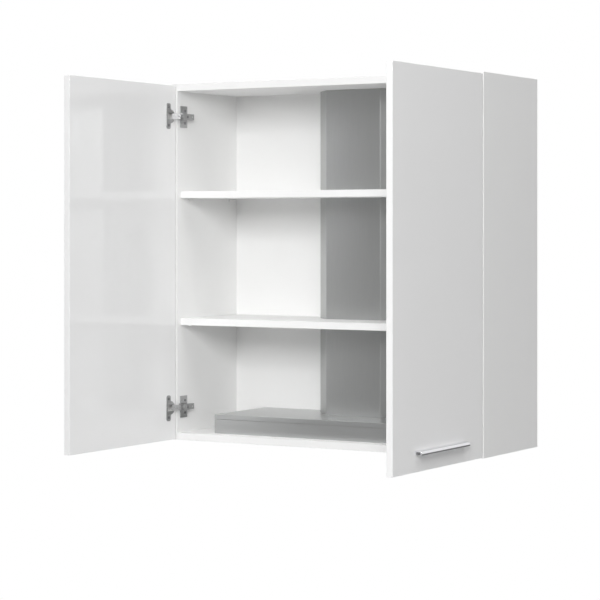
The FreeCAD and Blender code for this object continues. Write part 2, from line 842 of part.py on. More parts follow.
# Grease filters, lamps and buttons
def make_filters():
    x0, x1, y0 = filter_range()
    z0, z1 = hood_floor, hood_floor + filter_thickness
    frame = block(x0, x1, y0, filter_axis_y, z0, z1)
    start, end = V(x0, filter_axis_y, filter_axis_z), V(x1, filter_axis_y, filter_axis_z)
    past = V(filter_pin_reach, 0, 0)
    rear = rod(filter_thickness / 2, start, end)
    pins = rod(filter_pin_radius, start - past, end + past)
    left, right = x0 + filter_frame, x1 - filter_frame
    near, far = y0 + filter_frame, filter_axis_y - filter_frame
    window = block(left, right, near, far, z0, z1)
    middle = (x0 + x1) / 2
    pull = block(middle - pull_width / 2, middle + pull_width / 2, y0, near, z0 - pull_drop, z0)
    pull = rounded_edges(pull, pull_round, lambda b: b.ZMax < z0 - same_place)
    save_pair("filter_frame", frame.fuse([rear, pins, pull]).removeSplitter().cut(window))
    half = filter_mesh / 2
    save_pair("filter_mesh", block(left, right, near, far, filter_axis_z - half, filter_axis_z + half))


def make_lamps():
    """A round lamp pushed up through the hood's floor, with a lens in its rim."""
    place = lamp_place()
    down = V(0, 0, -1)
    rim = rod(lamp_rim_radius, place, place + down * lamp_rim_height)
    body = rod(lamp_body_radius, place, place + V(0, 0, lamp_body_height))
    face = place + down * lamp_rim_height
    lens = rod(lamp_lens_radius, face - down * lamp_lens_height, face)
    save_pair("lamp", rim.fuse(body).removeSplitter().cut(lens))
    save("lamp_lenses", group([lens, mirrored(lens)]))


def make_buttons():
    """Push buttons held by flanges in one switch box above the hood's floor."""
    places = button_places()
    reach = button_flange_radius + button_play
    box = block(places[0].x - reach - switch_wall, places[-1].x + reach + switch_wall,
                places[0].y - reach - switch_wall, places[0].y + reach + switch_wall,
                hood_floor_top, hood_floor_top + switch_height)
    well = V(0, 0, button_flange_height + button_travel + 2 * button_play)
    wells = []
    for number, place in enumerate(places):
        floor = place + V(0, 0, sheet)
        wells.append(rod(reach, floor, floor + well))
        cap = rod(button_radius, place - V(0, 0, button_drop), floor + V(0, 0, button_flange_height))
        cap = rounded_edges(cap, edge_round, lambda b: b.ZMax < hood_floor - button_drop + same_place)
        flange = floor + V(0, 0, button_play)
        ring = rod(button_flange_radius, flange, flange + V(0, 0, button_flange_height))
        save("button_" + str(number + 1), cap.fuse(ring).removeSplitter())
    save("switch_box", box.cut(wells))


# Chimney cover, blower and duct
def make_chimney():
    """A folded steel cover, open to the wall, with rear flanges."""
    z0, z1 = hood_top, panel_top - wall_play
    rear = back_face - wall_play
    cover = chimney_prism(0, rear, z0, z1)
    hollow = chimney_prism(-chimney_sheet, rear - chimney_sheet, z0, z1)
    half = chimney_half_width - chimney_flange
    gap = block(-half, half, rear - chimney_sheet, rear, z0, z1)
    save("chimney", cover.cut([hollow, gap]))


def fan_profile(radius, half, top_wall):
    """A blower casing: a round bottom with straight sides up to the outlet."""
    drum = rod(radius, V(-half, duct_y, fan_z), V(half, duct_y, fan_z))
    neck = block(-half, half, duct_y - radius, duct_y + radius, fan_z, fan_outlet - top_wall)
    return drum.fuse(neck).removeSplitter()


def make_fan_housing():
    shell = fan_profile(fan_housing_radius, fan_housing_half, 0)
    hollow = fan_profile(fan_housing_radius - fan_wall, fan_housing_half - fan_wall, fan_wall)
    side = V(fan_housing_half + fan_foot_thickness, 0, 0)
    middle = V(0, duct_y, fan_z)
    inlets = rod(fan_inlet_radius, middle - side, middle + side)
    top = V(0, duct_y, fan_outlet)
    collar_radius = pipe_inner - pipe_play
    collar = rod(collar_radius, top - V(0, 0, fan_wall), top + V(0, 0, fan_collar_height))
    bore = rod(collar_radius - fan_wall, top - V(0, 0, fan_wall), top + V(0, 0, fan_collar_height))
    foot = block(fan_housing_half, fan_housing_half + fan_foot_thickness, duct_y - fan_foot_half,
                 duct_y + fan_foot_half, hood_top, fan_z + motor_leg_reach)
    feet = [foot, mirrored(foot)]
    housing = shell.fuse([collar] + feet).removeSplitter()
    save("fan_housing", housing.cut([hollow, inlets, bore]))


def turned(shape, number, count):
    """A copy of a shape turned about the blower's axis."""
    copy = shape.copy()
    copy.rotate(V(0, duct_y, fan_z), V(1, 0, 0), 360.0 * number / count)
    return copy


def make_impeller():
    """A drum impeller: hub, middle disc, straight blades and two end rings."""
    axis = V(0, duct_y, fan_z)
    disc = rod(impeller_radius, axis - V(impeller_disc / 2, 0, 0), axis + V(impeller_disc / 2, 0, 0))
    hub_side = V(impeller_hub_half, 0, 0)
    hub = rod(impeller_hub_radius, axis - hub_side, axis + hub_side)
    blade = block(-impeller_half, impeller_half, duct_y - blade_thickness / 2, duct_y + blade_thickness / 2,
                  fan_z + impeller_radius - blade_depth, fan_z + impeller_radius - impeller_ring / 2)
    blades = [turned(blade, number, blade_count) for number in range(blade_count)]
    rings = []
    for x in (-impeller_half, impeller_half - impeller_ring):
        start, end = V(x, duct_y, fan_z), V(x + impeller_ring, duct_y, fan_z)
        inner = rod(impeller_radius - blade_depth / 2, start, end)
        rings.append(rod(impeller_radius, start, end).cut(inner))
    bore = rod(shaft_radius + pin_play, axis - hub_side, axis + hub_side)
    save("fan_impeller", disc.fuse([hub] + blades + rings).removeSplitter().cut(bore))


def make_motor():
    """A motor outside the left inlet, on legs that stand on the casing's side plate."""
    inner_end = -fan_housing_half - fan_foot_thickness - motor_gap
    outer_end = inner_end - motor_length
    can = rod(motor_radius, V(outer_end, duct_y, fan_z), V(inner_end, duct_y, fan_z))
    can = rounded_edges(can, edge_round, lambda b: b.XMax < outer_end + same_place)
    spoke = block(inner_end - motor_leg_thickness, inner_end, duct_y - motor_leg_width / 2,
                  duct_y + motor_leg_width / 2, fan_z + motor_radius / 2, fan_z + motor_leg_reach)
    leg = block(inner_end - motor_leg_thickness, -fan_housing_half - fan_foot_thickness,
                duct_y - motor_leg_width / 2, duct_y + motor_leg_width / 2,
                fan_z + motor_leg_reach - motor_leg_thickness, fan_z + motor_leg_reach)
    arms = [turned(spoke.fuse(leg), number, motor_leg_count) for number in range(motor_leg_count)]
    shaft_start = V((inner_end + outer_end) / 2, duct_y, fan_z)
    shaft_end = V(impeller_hub_half + shaft_past_hub, duct_y, fan_z)
    bore = rod(shaft_radius + pin_play, shaft_start - V(pin_play, 0, 0), V(inner_end, duct_y, fan_z))
    save("fan_motor", can.fuse(arms).removeSplitter().cut(bore))
    save("fan_shaft", rod(shaft_radius, shaft_start, shaft_end))


def collar_screw_places():
    """Places round the collar's flange where it is screwed to the top panel."""
    z = cabinet_height + collar_flange_thickness
    places = []
    for number in range(collar_screw_count):
        angle = 2 * math.pi * (number + 0.5) / collar_screw_count
        x = collar_screw_circle * math.cos(angle)
        places.append(V(x, duct_y + collar_screw_circle * math.sin(angle), z))
    return places


def make_duct():
    """The round pipe from the blower and the collar that a duct is pushed over."""
    start = V(0, duct_y, fan_outlet)
    end = V(0, duct_y, cabinet_height - pipe_top_gap)
    save("exhaust_pipe", rod(pipe_outer, start, end).cut(rod(pipe_inner, start, end)))
    low = V(0, duct_y, panel_top)
    deck = V(0, duct_y, cabinet_height)
    high = V(0, duct_y, cabinet_height + collar_rise)
    flange = rod(collar_flange_radius, deck, deck + V(0, 0, collar_flange_thickness))
    neck = rod(duct_radius, low, high)
    inner = duct_radius - duct_wall
    seat_top = V(0, duct_y, flap_axis_z - flap_thickness / 2 - wall_play)
    seat_low = seat_top - V(0, 0, collar_flange_thickness)
    bore = rod(inner, low, high)
    seat = rod(inner, seat_low, seat_top).cut(rod(inner - flap_seat_width, seat_low, seat_top))
    collar = neck.fuse(flange).removeSplitter().cut(bore).fuse(seat).removeSplitter()
    holes = wood_screw_rods(collar_screw_places(), pin_play)
    save("duct_collar", collar.cut(holes + [knuckle_room()]).fuse(flap_pin(0)).removeSplitter())


def flap_pin(play):
    """The bar moulded across the collar that both flaps swing on."""
    reach = duct_radius - duct_wall / 2
    return rod(flap_pin_radius + play, V(-reach, duct_y, flap_axis_z), V(reach, duct_y, flap_axis_z))


def knuckle_room():
    """Room in the flap seat for the flaps' knuckles."""
    reach = duct_radius - duct_wall
    room = flap_knuckle_radius + flap_knuckle_play
    return rod(room, V(-reach, duct_y, flap_axis_z), V(reach, duct_y, flap_axis_z))


def half_flap(spans):
    """A half round flap towards the front, with knuckles over the given stretches of the pin."""
    radius = duct_radius - duct_wall - flap_rim_play
    base = V(0, duct_y, flap_axis_z - flap_thickness / 2)
    disc = rod(radius, base, base + V(0, 0, flap_thickness))
    keep = block(-radius, radius, duct_y - radius, duct_y - flap_plate_start,
                 flap_axis_z - flap_thickness / 2, flap_axis_z + flap_thickness / 2)
    plate = disc.common(keep)
    pieces = []
    for x0, x1 in spans:
        pieces.append(rod(flap_knuckle_radius, V(x0, duct_y, flap_axis_z), V(x1, duct_y, flap_axis_z)))
        pieces.append(block(x0, x1, duct_y - flap_plate_start, duct_y,
                            flap_axis_z - flap_thickness / 2, flap_axis_z + flap_thickness / 2))
    return plate.fuse(pieces).removeSplitter().cut(flap_pin(pin_play))


def make_flaps():
    """Two flaps that shut the collar when the blower stands still."""
    middle = flap_knuckle_length / 2
    start = middle + flap_knuckle_play
    outer = start + flap_knuckle_length
    save("flap_front", half_flap([(start, outer), (-outer, -start)]))
    rear = half_flap([(-middle, middle)])
    save("flap_rear", rear.mirror(V(0, duct_y, 0), V(0, 1, 0)))


os.makedirs("parts", exist_ok=True)
make_side_panels()
make_top_panel()
make_bottom_panel()
make_back_panel()
make_shelves()
make_carcass_fittings()
make_hangers()
make_hinges()
make_doors()
make_handles()
make_hood_body()
make_hood_fascia()
make_hood_lid()
make_filters()
make_lamps()
make_buttons()
make_chimney()
make_fan_housing()
make_impeller()
make_motor()
make_duct()
make_flaps()
make_wood_screws()
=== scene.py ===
import math

import bmesh
import bpy
import numpy as np
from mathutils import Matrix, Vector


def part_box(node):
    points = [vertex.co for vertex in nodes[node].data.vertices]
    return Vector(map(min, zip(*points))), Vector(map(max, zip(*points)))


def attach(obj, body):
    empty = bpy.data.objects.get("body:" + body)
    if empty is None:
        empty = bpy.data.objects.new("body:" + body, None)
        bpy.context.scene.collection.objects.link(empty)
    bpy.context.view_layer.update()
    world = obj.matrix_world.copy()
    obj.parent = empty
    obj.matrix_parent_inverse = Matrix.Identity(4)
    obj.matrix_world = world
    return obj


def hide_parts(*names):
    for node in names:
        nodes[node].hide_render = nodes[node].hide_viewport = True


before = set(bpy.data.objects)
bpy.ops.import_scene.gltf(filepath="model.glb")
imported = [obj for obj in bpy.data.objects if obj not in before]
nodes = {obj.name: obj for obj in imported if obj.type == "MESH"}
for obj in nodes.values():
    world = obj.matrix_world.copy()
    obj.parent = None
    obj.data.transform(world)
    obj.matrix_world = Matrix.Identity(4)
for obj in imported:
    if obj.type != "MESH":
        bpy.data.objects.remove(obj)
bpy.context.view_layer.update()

# Carcass boards: two sides, a top and a bottom of 18 mm chipboard faced with white melamine.
# Their front edges carry a 1 mm band; the rear edges, which face the wall, stay raw.
# The boards are joined with cams and dowels.
board_white = (0.91, 0.91, 0.905)
board_shade = (0.895, 0.895, 0.89)
board_patches = 9.0
board_gloss = (0.36, 0.48)
board_gloss_patches = 60.0
board_grain_scale = 1400.0
board_grain_strength = 0.12
board_grain_depth = 0.0002
chip_light = (0.42, 0.30, 0.19)
chip_dark = (0.20, 0.125, 0.07)
chips_per_metre = 380.0
band_depth = 0.001
band_line = 0.00015
band_glue = (0.62, 0.62, 0.61)
raw_edge_facing = 0.9


def new_finish(name, colour, roughness, metallic=0.0):
    """A finish with one Principled shader, its steady values set on the shader's own sockets."""
    finish = bpy.data.materials.new(name)
    finish.use_nodes = True
    tree = finish.node_tree
    shader = tree.nodes["Principled BSDF"]
    shader.inputs["Base Color"].default_value = (*colour, 1)
    shader.inputs["Roughness"].default_value = roughness
    shader.inputs["Metallic"].default_value = metallic
    return finish, tree, shader


def add_node(tree, kind, settings=None, **inputs):
    """A shader node with its settings and the values of its named inputs."""
    node = tree.nodes.new(kind)
    for key, value in (settings or {}).items():
        setattr(node, key, value)
    for key, value in inputs.items():
        node.inputs[key.replace("_", " ")].default_value = value
    return node


def reckon(tree, operation, *values):
    """One sum or test on values that are numbers or sockets."""
    node = add_node(tree, "ShaderNodeMath", {"operation": operation})
    for socket, value in zip(node.inputs, values):
        if isinstance(value, float):
            socket.default_value = value
        else:
            tree.links.new(value, socket)
    return node.outputs["Value"]


def along_axis(tree, vector, axis):
    """One axis of a vector."""
    parts = add_node(tree, "ShaderNodeSeparateXYZ")
    tree.links.new(vector, parts.inputs["Vector"])
    return parts.outputs[axis]


def place(tree, stretch=(1, 1, 1)):
    """Object coordinates, stretched along the axes."""
    coordinates = add_node(tree, "ShaderNodeTexCoord")
    mapping = add_node(tree, "ShaderNodeMapping", Scale=stretch)
    tree.links.new(coordinates.outputs["Object"], mapping.inputs["Vector"])
    return mapping.outputs["Vector"]


def noise(tree, scale, detail=3.0, stretch=(1, 1, 1)):
    """Soft noise over the object, about one metre divided by scale across."""
    texture = add_node(tree, "ShaderNodeTexNoise", Scale=scale, Detail=detail)
    tree.links.new(place(tree, stretch), texture.inputs["Vector"])
    return texture.outputs["Fac"]


def spread(tree, factor, low, high):
    """A factor from 0 to 1 spread between two numbers."""
    node = add_node(tree, "ShaderNodeMapRange", To_Min=low, To_Max=high)
    tree.links.new(factor, node.inputs["Value"])
    return node.outputs["Result"]


def blend_colours(tree, factor, first, second):
    """A colour from first to second as the factor goes from 0 to 1; either may be a socket."""
    node = add_node(tree, "ShaderNodeMix", {"data_type": "RGBA"})
    tree.links.new(factor, node.inputs["Factor"])
    for socket, colour in ((node.inputs[6], first), (node.inputs[7], second)):
        if isinstance(colour, tuple):
            socket.default_value = (*colour, 1)
        else:
            tree.links.new(colour, socket)
    return node.outputs[2]


def paint(tree, shader, colour):
    """Give the shader a colour that changes over the surface."""
    tree.links.new(colour, shader.inputs["Base Color"])


def vary_gloss(tree, shader, factor, low, high):
    """Let the roughness drift between two numbers as a factor goes from 0 to 1."""
    tree.links.new(spread(tree, factor, low, high), shader.inputs["Roughness"])


def emboss(tree, shader, height, strength, depth):
    """Fine relief of the given depth in metres."""
    bump = add_node(tree, "ShaderNodeBump", Strength=strength, Distance=depth)
    tree.links.new(height, bump.inputs["Height"])
    tree.links.new(bump.outputs["Normal"], shader.inputs["Normal"])


def facing(tree, axis, limit):
    """1 on faces whose own normal points along an axis by more than the limit."""
    coordinates = add_node(tree, "ShaderNodeTexCoord")
    return reckon(tree, "GREATER_THAN", along_axis(tree, coordinates.outputs["Normal"], axis), limit)


def near_depth(tree, depth, half):
    """1 where the place along Y lies within half of the given depth."""
    return reckon(tree, "COMPARE", along_axis(tree, place(tree), "Y"), depth, half)


def white_face(tree):
    """White with a faint drift, as pressed melamine has."""
    return blend_colours(tree, noise(tree, board_patches), board_white, board_shade)


def board_grain(tree, shader):
    """The fine even grain of a pressed face."""
    emboss(tree, shader, noise(tree, board_grain_scale, 2.0), board_grain_strength, board_grain_depth)


def white_board(name, front):
    """White melamine with a fine grain, the joint of its edge band, and raw chips at the rear edge."""
    finish, tree, shader = new_finish(name, board_white, 0.42)
    band = near_depth(tree, front + band_depth, band_line)
    face = blend_colours(tree, band, white_face(tree), band_glue)
    chips = blend_colours(tree, noise(tree, chips_per_metre, 6.0), chip_dark, chip_light)
    paint(tree, shader, blend_colours(tree, facing(tree, "Y", raw_edge_facing), face, chips))
    vary_gloss(tree, shader, noise(tree, board_gloss_patches), *board_gloss)
    board_grain(tree, shader)
    return finish


def dress(finish, *names):
    """Give CAD pieces a finish in their own material slots."""
    for name in names:
        slots = nodes[name].data.materials
        slots.clear()
        slots.append(finish)


carcass_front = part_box("side_panel_left")[0].y
dress(white_board("carcass_melamine", carcass_front),
      "side_panel_left", "side_panel_right", "top_panel", "bottom_panel")

# Shelves: two boards of the same melamine, notched round the chimney and set back from the doors.
# They lie on steel pins with a white coat, pushed into the sides.
mm = 0.001
weld = 1e-7
crease = math.radians(38)
coat_patches = 120.0
coat_gloss = (0.34, 0.46)
coat_gloss_patches = 500.0
pin_tip = [(0, 0), (1.0, -0.08), (1.8, -0.4), (2.3, -0.95), (2.5, -1.7)]
pin_groove = [(2.5, -4.2), (2.2, -4.6), (2.2, -5.4), (2.5, -5.8)]
pin_end = [(2.5, -16.4), (2.2, -17), (0, -17)]


def solids_of(name):
    """Points of each separate solid of a CAD node: triangles that share a place belong together."""
    mesh = nodes[name].data
    points = np.empty(3 * len(mesh.vertices))
    mesh.vertices.foreach_get("co", points)
    points = points.reshape(-1, 3)
    corners = np.empty(len(mesh.loops), int)
    mesh.loops.foreach_get("vertex_index", corners)
    place_of = np.unique(points.round(6), axis=0, return_inverse=True)[1].ravel()
    triangles = place_of[corners.reshape(-1, 3)]
    label, before = np.arange(place_of.max() + 1), None
    while before is None or (label != before).any():
        before = label.copy()
        np.minimum.at(label, triangles.ravel(), np.repeat(before[triangles].min(axis=1), 3))
    return [points[label[place_of] == solid] for solid in np.unique(label)]


def span(points):
    """The lowest and the highest corner of some points."""
    return points.min(axis=0), points.max(axis=0)


def turned(profile, columns=32):
    """Radius and height pairs in millimetres carried once round an axis, one ring of points for each."""
    radius, height = np.array(profile, float).T * mm
    turn = 2 * np.pi * np.arange(columns) / columns
    return np.stack((np.outer(radius, np.cos(turn)), np.outer(radius, np.sin(turn)),
                     np.outer(height, np.ones(columns))), -1)


def stand(points, foot, out):
    """Points written as (across, beside, height) carried to a foot, with their height along out."""
    out = np.array(out, float)
    across = np.roll(np.abs(out), 1)
    return points @ np.stack((across, np.cross(out, across), out)) + np.array(foot)


def ring_quads(copies, rows, columns):
    """Quads between neighbouring rings of each copy, where the last column joins the first."""
    corner = np.arange(copies * rows * columns).reshape(copies, rows, columns)
    upper, lower = corner[:, :-1], corner[:, 1:]
    return np.stack((upper, lower, np.roll(lower, -1, 2), np.roll(upper, -1, 2)), -1).reshape(-1, 4)


def settle(name, mesh, finish, body, slot, *replaced):
    """Make a mesh a piece: smooth except across sharp edges, with its finish and body. The slot is not
    used.
    """
    mesh.shade_smooth()
    mesh.set_sharp_from_angle(angle=crease)
    mesh.materials.clear()
    mesh.materials.append(finish)
    piece = bpy.data.objects.new(name, mesh)
    bpy.context.scene.collection.objects.link(piece)
    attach(piece, body)
    if replaced:
        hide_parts(*replaced)
    return piece


def add_piece(name, points, faces, finish, body, slot, *replaced):
    """A piece from points and faces, merged at its poles."""
    mesh = bpy.data.meshes.new(name)
    mesh.from_pydata(np.reshape(points, (-1, 3)).tolist(), [], faces)
    shape = bmesh.new()
    shape.from_mesh(mesh)
    bmesh.ops.remove_doubles(shape, verts=shape.verts, dist=weld)
    shape.to_mesh(mesh)
    shape.free()
    settle(name, mesh, finish, body, slot, *replaced)


def stand_each(name, form, places, finish, body, slot, *replaced):
    """One piece from copies of a turned form, each with its own foot and way out."""
    copies = [stand(form, foot, out) for foot, out in places]
    quads = ring_quads(len(copies), *form.shape[:2]).tolist()
    add_piece(name, copies, quads, finish, body, slot, *replaced)


def white_coat():
    """A white coat, a little uneven."""
    finish, tree, shader = new_finish("white_coat", board_white, 0.4)
    paint(tree, shader, blend_colours(tree, noise(tree, coat_patches), board_white, board_shade))
    vary_gloss(tree, shader, noise(tree, coat_gloss_patches), *coat_gloss)
    return finish


def shelf_pins():
    """Turned pins: a domed tip, a groove and a straight shank, pushed into the side panels."""
    places = []
    for solid in solids_of("shelf_pins"):
        low, high = span(solid)
        inward = -np.sign(low[0])
        foot = (low + high) / 2
        foot[0] = low[0] if inward < 0 else high[0]
        places.append((foot, (inward, 0, 0)))
    stand_each("turned_shelf_pins", turned(pin_tip + pin_groove + pin_end), places, white_coat(),
               "cabinet", "fastener_steel", "shelf_pins")


dress(white_board("shelf_melamine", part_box("shelf_lower")[0].y), "shelf_lower", "shelf_upper")
shelf_pins()

# Back panel: 3 mm hardboard in grooves, lacquered white towards the inside.
# Its rear face is raw brown fibre.
hardboard_light = (0.30, 0.185, 0.10)
hardboard_dark = (0.21, 0.125, 0.065)
hardboard_gloss = (0.40, 0.52)
fibres_per_metre = 900.0
fibre_stretch = (1, 1, 0.35)
raw_face_facing = 0.5


def hardboard():
    """White lacquer on the front face and brown fibre on the rear face."""
    finish, tree, shader = new_finish("back_hardboard", board_white, 0.45)
    fibres = noise(tree, fibres_per_metre, 6.0, fibre_stretch)
    fibre = blend_colours(tree, fibres, hardboard_dark, hardboard_light)
    paint(tree, shader, blend_colours(tree, facing(tree, "Y", raw_face_facing), white_face(tree), fibre))
    vary_gloss(tree, shader, noise(tree, board_gloss_patches), *hardboard_gloss)
    board_grain(tree, shader)
    return finish


dress(hardboard(), "back_panel")

# Joint fittings: beech dowels, zinc cams and their bolts at the ends of the top and bottom panels.
# Steel ears screwed into the rear edges hang the cabinet on the wall.
sides = ("left", "right")
beech_light = (0.52, 0.36, 0.20)
beech_dark = (0.40, 0.26, 0.135)
beech_grain = 700.0
beech_stretch = (0.06, 1, 1)
zinc_grey = (0.60, 0.60, 0.60)
plating_cloud = 0.88
cloud_patches = 240.0
plating_gloss_patches = 700.0
plating_smoother, plating_rougher = 0.06, 0.08
head_limit = 2.0
head_dome, head_reach, head_rings = 0.12, 0.9, 16
recess_share = 0.55
thread_pitch, thread_depth, thread_rows = 1.3, 0.24, 6
thread_start, point_length = 0.2, 2.0
screw_columns = 48
end_slice = 1e-5
rim_share = 0.95
cam_radius, cam_columns = 7.5, 48
cam_face, cam_face_rings = 0.72, 18
cam_ring = [(5.6, 0), (5.75, -0.35), (6.25, -0.35), (6.4, 0), (7.2, 0), (7.45, -0.25)]
cam_side = [(7.45, -12.2), (7.2, -12.5), (0, -12.5)]
cam_sunk = 0.2
cam_recess, cam_recess_share = 3.0, 0.85
bottom_panel_zone = 0.1
cad_weld = 1e-6
flat_angle = math.radians(0.5)
soft_edge_angle = math.radians(40)
ear_softness = 0.3


def beech():
    """Beech with fine grain along X."""
    finish, tree, shader = new_finish("beech", beech_light, 0.6)
    grain = noise(tree, beech_grain, 4.0, beech_stretch)
    paint(tree, shader, blend_colours(tree, grain, beech_light, beech_dark))
    return finish


def toned(colour, share):
    """A colour made darker or lighter by a share."""
    return tuple(share * channel for channel in colour)


def clouded(tree, colour):
    """A plated colour with faint clouds."""
    return blend_colours(tree, noise(tree, cloud_patches), colour, toned(colour, plating_cloud))


def plated_steel(name, colour, roughness):
    """Plated steel with faint clouding."""
    finish, tree, shader = new_finish(name, colour, roughness, 1.0)
    paint(tree, shader, clouded(tree, colour))
    patches = noise(tree, plating_gloss_patches)
    vary_gloss(tree, shader, patches, roughness - plating_smoother, roughness + plating_rougher)
    return finish


def cross_recess(points, radius, depth):
    """Sink a cross into the top of turned points: two arms with soft walls, deepest where they meet."""
    reach, half, wall = 0.60 * radius, 0.16 * radius, 0.07 * radius
    across, beside = np.abs(points[..., 0]), np.abs(points[..., 1])

    def arm(along, aside):
        return np.clip((reach - along) / wall, 0, 1) * np.clip((half + wall / 2 - aside) / wall, 0, 1)

    slope = 1 - 0.5 * np.hypot(across, beside) / radius
    sunk = points.copy()
    sunk[..., 2] -= depth * slope * np.maximum(arm(across, beside), arm(beside, across))
    return sunk


def screw(head_radius, head_height, shank_radius, length):
    """A domed head with a cross recess, a threaded shank and a point, in millimetres.

    The dome falls with the square of the radius; the thread is a wave that climbs once a turn.
    """
    dome = head_dome * head_radius
    reach = np.linspace(0, head_reach, head_rings)
    head = np.stack((head_radius * reach, -dome * reach * reach), -1)
    rim = [(0.97 * head_radius, -1.1 * dome), (head_radius, -1.6 * dome), (head_radius, -head_height)]
    rows = np.arange(head_height + thread_start, length - point_length, thread_pitch / thread_rows)
    shank = np.stack((shank_radius + 0 * rows, -rows), -1)
    point = [(0.5 * shank_radius, -length + 0.8), (0, -length)]
    points = turned(np.concatenate((head, rim, shank, point)), screw_columns)
    top = len(head)
    recess = recess_share * min(head_height, head_radius) * mm
    points[:top] = cross_recess(points[:top], head_radius * mm, recess)
    turn = 2 * np.pi * np.arange(screw_columns) / screw_columns
    wave = np.abs((rows[:, None] / thread_pitch + turn / (2 * np.pi)) % 1 - 0.5) * 2
    start = top + len(rim)
    points[start:start + len(rows), :, :2] *= (1 - thread_depth * wave)[..., None]
    return points


def screws(name, finish, body, *replaced, plain_rods=False):
    """Screws in place of a node's rods: each head is at the wider end, or at the far end of plain rods."""
    made = []
    for node in replaced:
        for solid in solids_of(node):
            low, high = span(solid)
            way = int(np.argmax(high - low))
            middle = (low + high) / 2
            aside = np.linalg.norm(np.delete(solid - middle, way, 1), axis=1)
            low_end = aside[solid[:, way] < low[way] + end_slice].max()
            high_end = aside[solid[:, way] > high[way] - end_slice].max()
            forward = plain_rods or high_end > low_end + end_slice
            widest = aside.max()
            wide = solid[aside > rim_share * widest][:, way]
            head_height = min(wide.max() - wide.min(), head_limit * mm)
            foot, out = middle.copy(), np.zeros(3)
            foot[way] = high[way] if forward else low[way]
            out[way] = 1 if forward else -1
            sizes = (widest, head_height, min(high_end, low_end), (high - low)[way])
            made.append(stand(screw(*(size / mm for size in sizes)), foot, out))
    quads, first = [], 0
    for one in made:
        quads.append(ring_quads(1, *one.shape[:2]) + first)
        first += one.shape[0] * one.shape[1]
    points = np.concatenate([one.reshape(-1, 3) for one in made])
    add_piece(name, points, np.concatenate(quads).tolist(), finish, body, "fastener_steel", *replaced)


def cams():
    """Round cams with a ring and a cross recess in the face that the screwdriver turns."""
    reach = np.linspace(0, cam_face, cam_face_rings)
    face = np.stack((cam_radius * reach, 0 * reach), -1)
    cam = turned(np.concatenate((face, cam_ring, cam_side)), cam_columns)
    cam[:len(face)] = cross_recess(cam[:len(face)], cam_recess_share * cam_radius * mm, cam_recess * mm)
    places = []
    for solid in solids_of("cam_locks"):
        low, high = span(solid)
        up = 1 if low[2] > bottom_panel_zone else -1
        foot = (low + high) / 2
        foot[2] = (high[2] if up > 0 else low[2]) - up * cam_sunk * mm
        places.append((foot, (0, 0, up)))
    stand_each("cam_faces", cam, places, zinc, "cabinet", "fastener_steel", "cam_locks")


def softened(name, node, width, finish, body, slot):
    """A copy of a CAD piece: triangles merged, flat faces joined again, sharp edges rounded by a width."""
    mesh = nodes[node].data.copy()
    mesh.name = name
    if "custom_normal" in mesh.attributes:
        mesh.attributes.remove(mesh.attributes["custom_normal"])
    shape = bmesh.new()
    shape.from_mesh(mesh)
    bmesh.ops.remove_doubles(shape, verts=shape.verts, dist=cad_weld)
    bmesh.ops.dissolve_limit(shape, angle_limit=flat_angle, verts=shape.verts, edges=shape.edges)
    shape.to_mesh(mesh)
    shape.free()
    piece = settle(name, mesh, finish, body, slot, node)
    edges = piece.modifiers.new("soft_edges", "BEVEL")
    edges.width = width * mm
    edges.segments = 2
    edges.limit_method = "ANGLE"
    edges.angle_limit = soft_edge_angle
    edges.harden_normals = True


zinc = plated_steel("zinc_plate", zinc_grey, 0.34)
dress(beech(), "carcass_dowels")
dress(zinc, "cam_bolts")
for side in sides:
    softened("hanging_ear_" + side, "hanger_plate_" + side, ear_softness, zinc, "cabinet", "fastener_steel")
cams()
screws("hanger_fixings", zinc, "cabinet", "hanger_screws", plain_rods=True)

# Hood casing: a folded tray, a plain front strip and a lid with a turned-down lip.
# All three are brushed stainless sheet; wood screws hold the tray to the bottom panel.
steel_grey = (0.56, 0.567, 0.565)
steel_dark = (0.51, 0.517, 0.515)
sheet_metal = 0.85
brush_lines = 900.0
brush_gloss = 0.07
brush_strength = 0.06
brush_depth = 0.0001
fold_softness = 0.4


def brushed_steel(name, stretch, roughness, painted_light_tone):
    """Stainless sheet with brush lines along the axis that the stretch leaves long; a tone scales its
    colour as painted light and shade.
    """
    light, dark = toned(steel_grey, painted_light_tone), toned(steel_dark, painted_light_tone)
    finish, tree, shader = new_finish(name, light, roughness, sheet_metal)
    lines = noise(tree, brush_lines, 4.0, stretch)
    paint(tree, shader, blend_colours(tree, lines, light, dark))
    vary_gloss(tree, shader, lines, roughness - brush_gloss, roughness + brush_gloss)
    emboss(tree, shader, lines, brush_strength, brush_depth)
    return finish


# The hood's steel is the same stainless as the chimney's, made a little lighter by its tone: painted light.
hood_steel = brushed_steel("hood_steel", stretch=(0.02, 1, 1), roughness=0.32, painted_light_tone=1.03)
dress(hood_steel, "hood_body")
softened("folded_lid", "hood_lid", fold_softness, hood_steel, "cabinet", "hood_steel")
softened("front_strip", "hood_fascia", fold_softness, hood_steel, "cabinet", "hood_steel")
screws("pan_head_screws", zinc, "cabinet", "wood_screws")

# Grease filters: an aluminium frame round layers of woven mesh, hung on two pins at the rear.
# Each one swings down by the pull on its front edge.
filter_grey = (0.66, 0.67, 0.68)
frame_softness = 0.5
mesh_pitch = 5 * mm
wire_thick = 0.8 * mm
wire_lift = 0.55
wire_samples = 3
layer_height = 0.9 * mm


def wires(count, first, last, samples):
    """Wavy wires side by side, each a sine over and under its crossings, with a square section.

    The points are written as (along, aside, height); neighbours start half a wave apart.
    """
    step = (last[1] - first[1]) / (count - 1)
    along = np.linspace(first[0], last[0], samples)
    row = np.arange(count)[:, None]
    height = wire_lift * wire_thick * np.sin(np.pi * ((along - first[0]) / step + row))
    aside = first[1] + step * row + 0 * along
    middle = np.stack((along + 0 * row, aside, height), -1)
    turn = np.pi / 2 * np.arange(4)
    section = np.stack((0 * turn, np.cos(turn), np.sin(turn)), -1) * wire_thick / 2
    return middle[:, :, None] + section


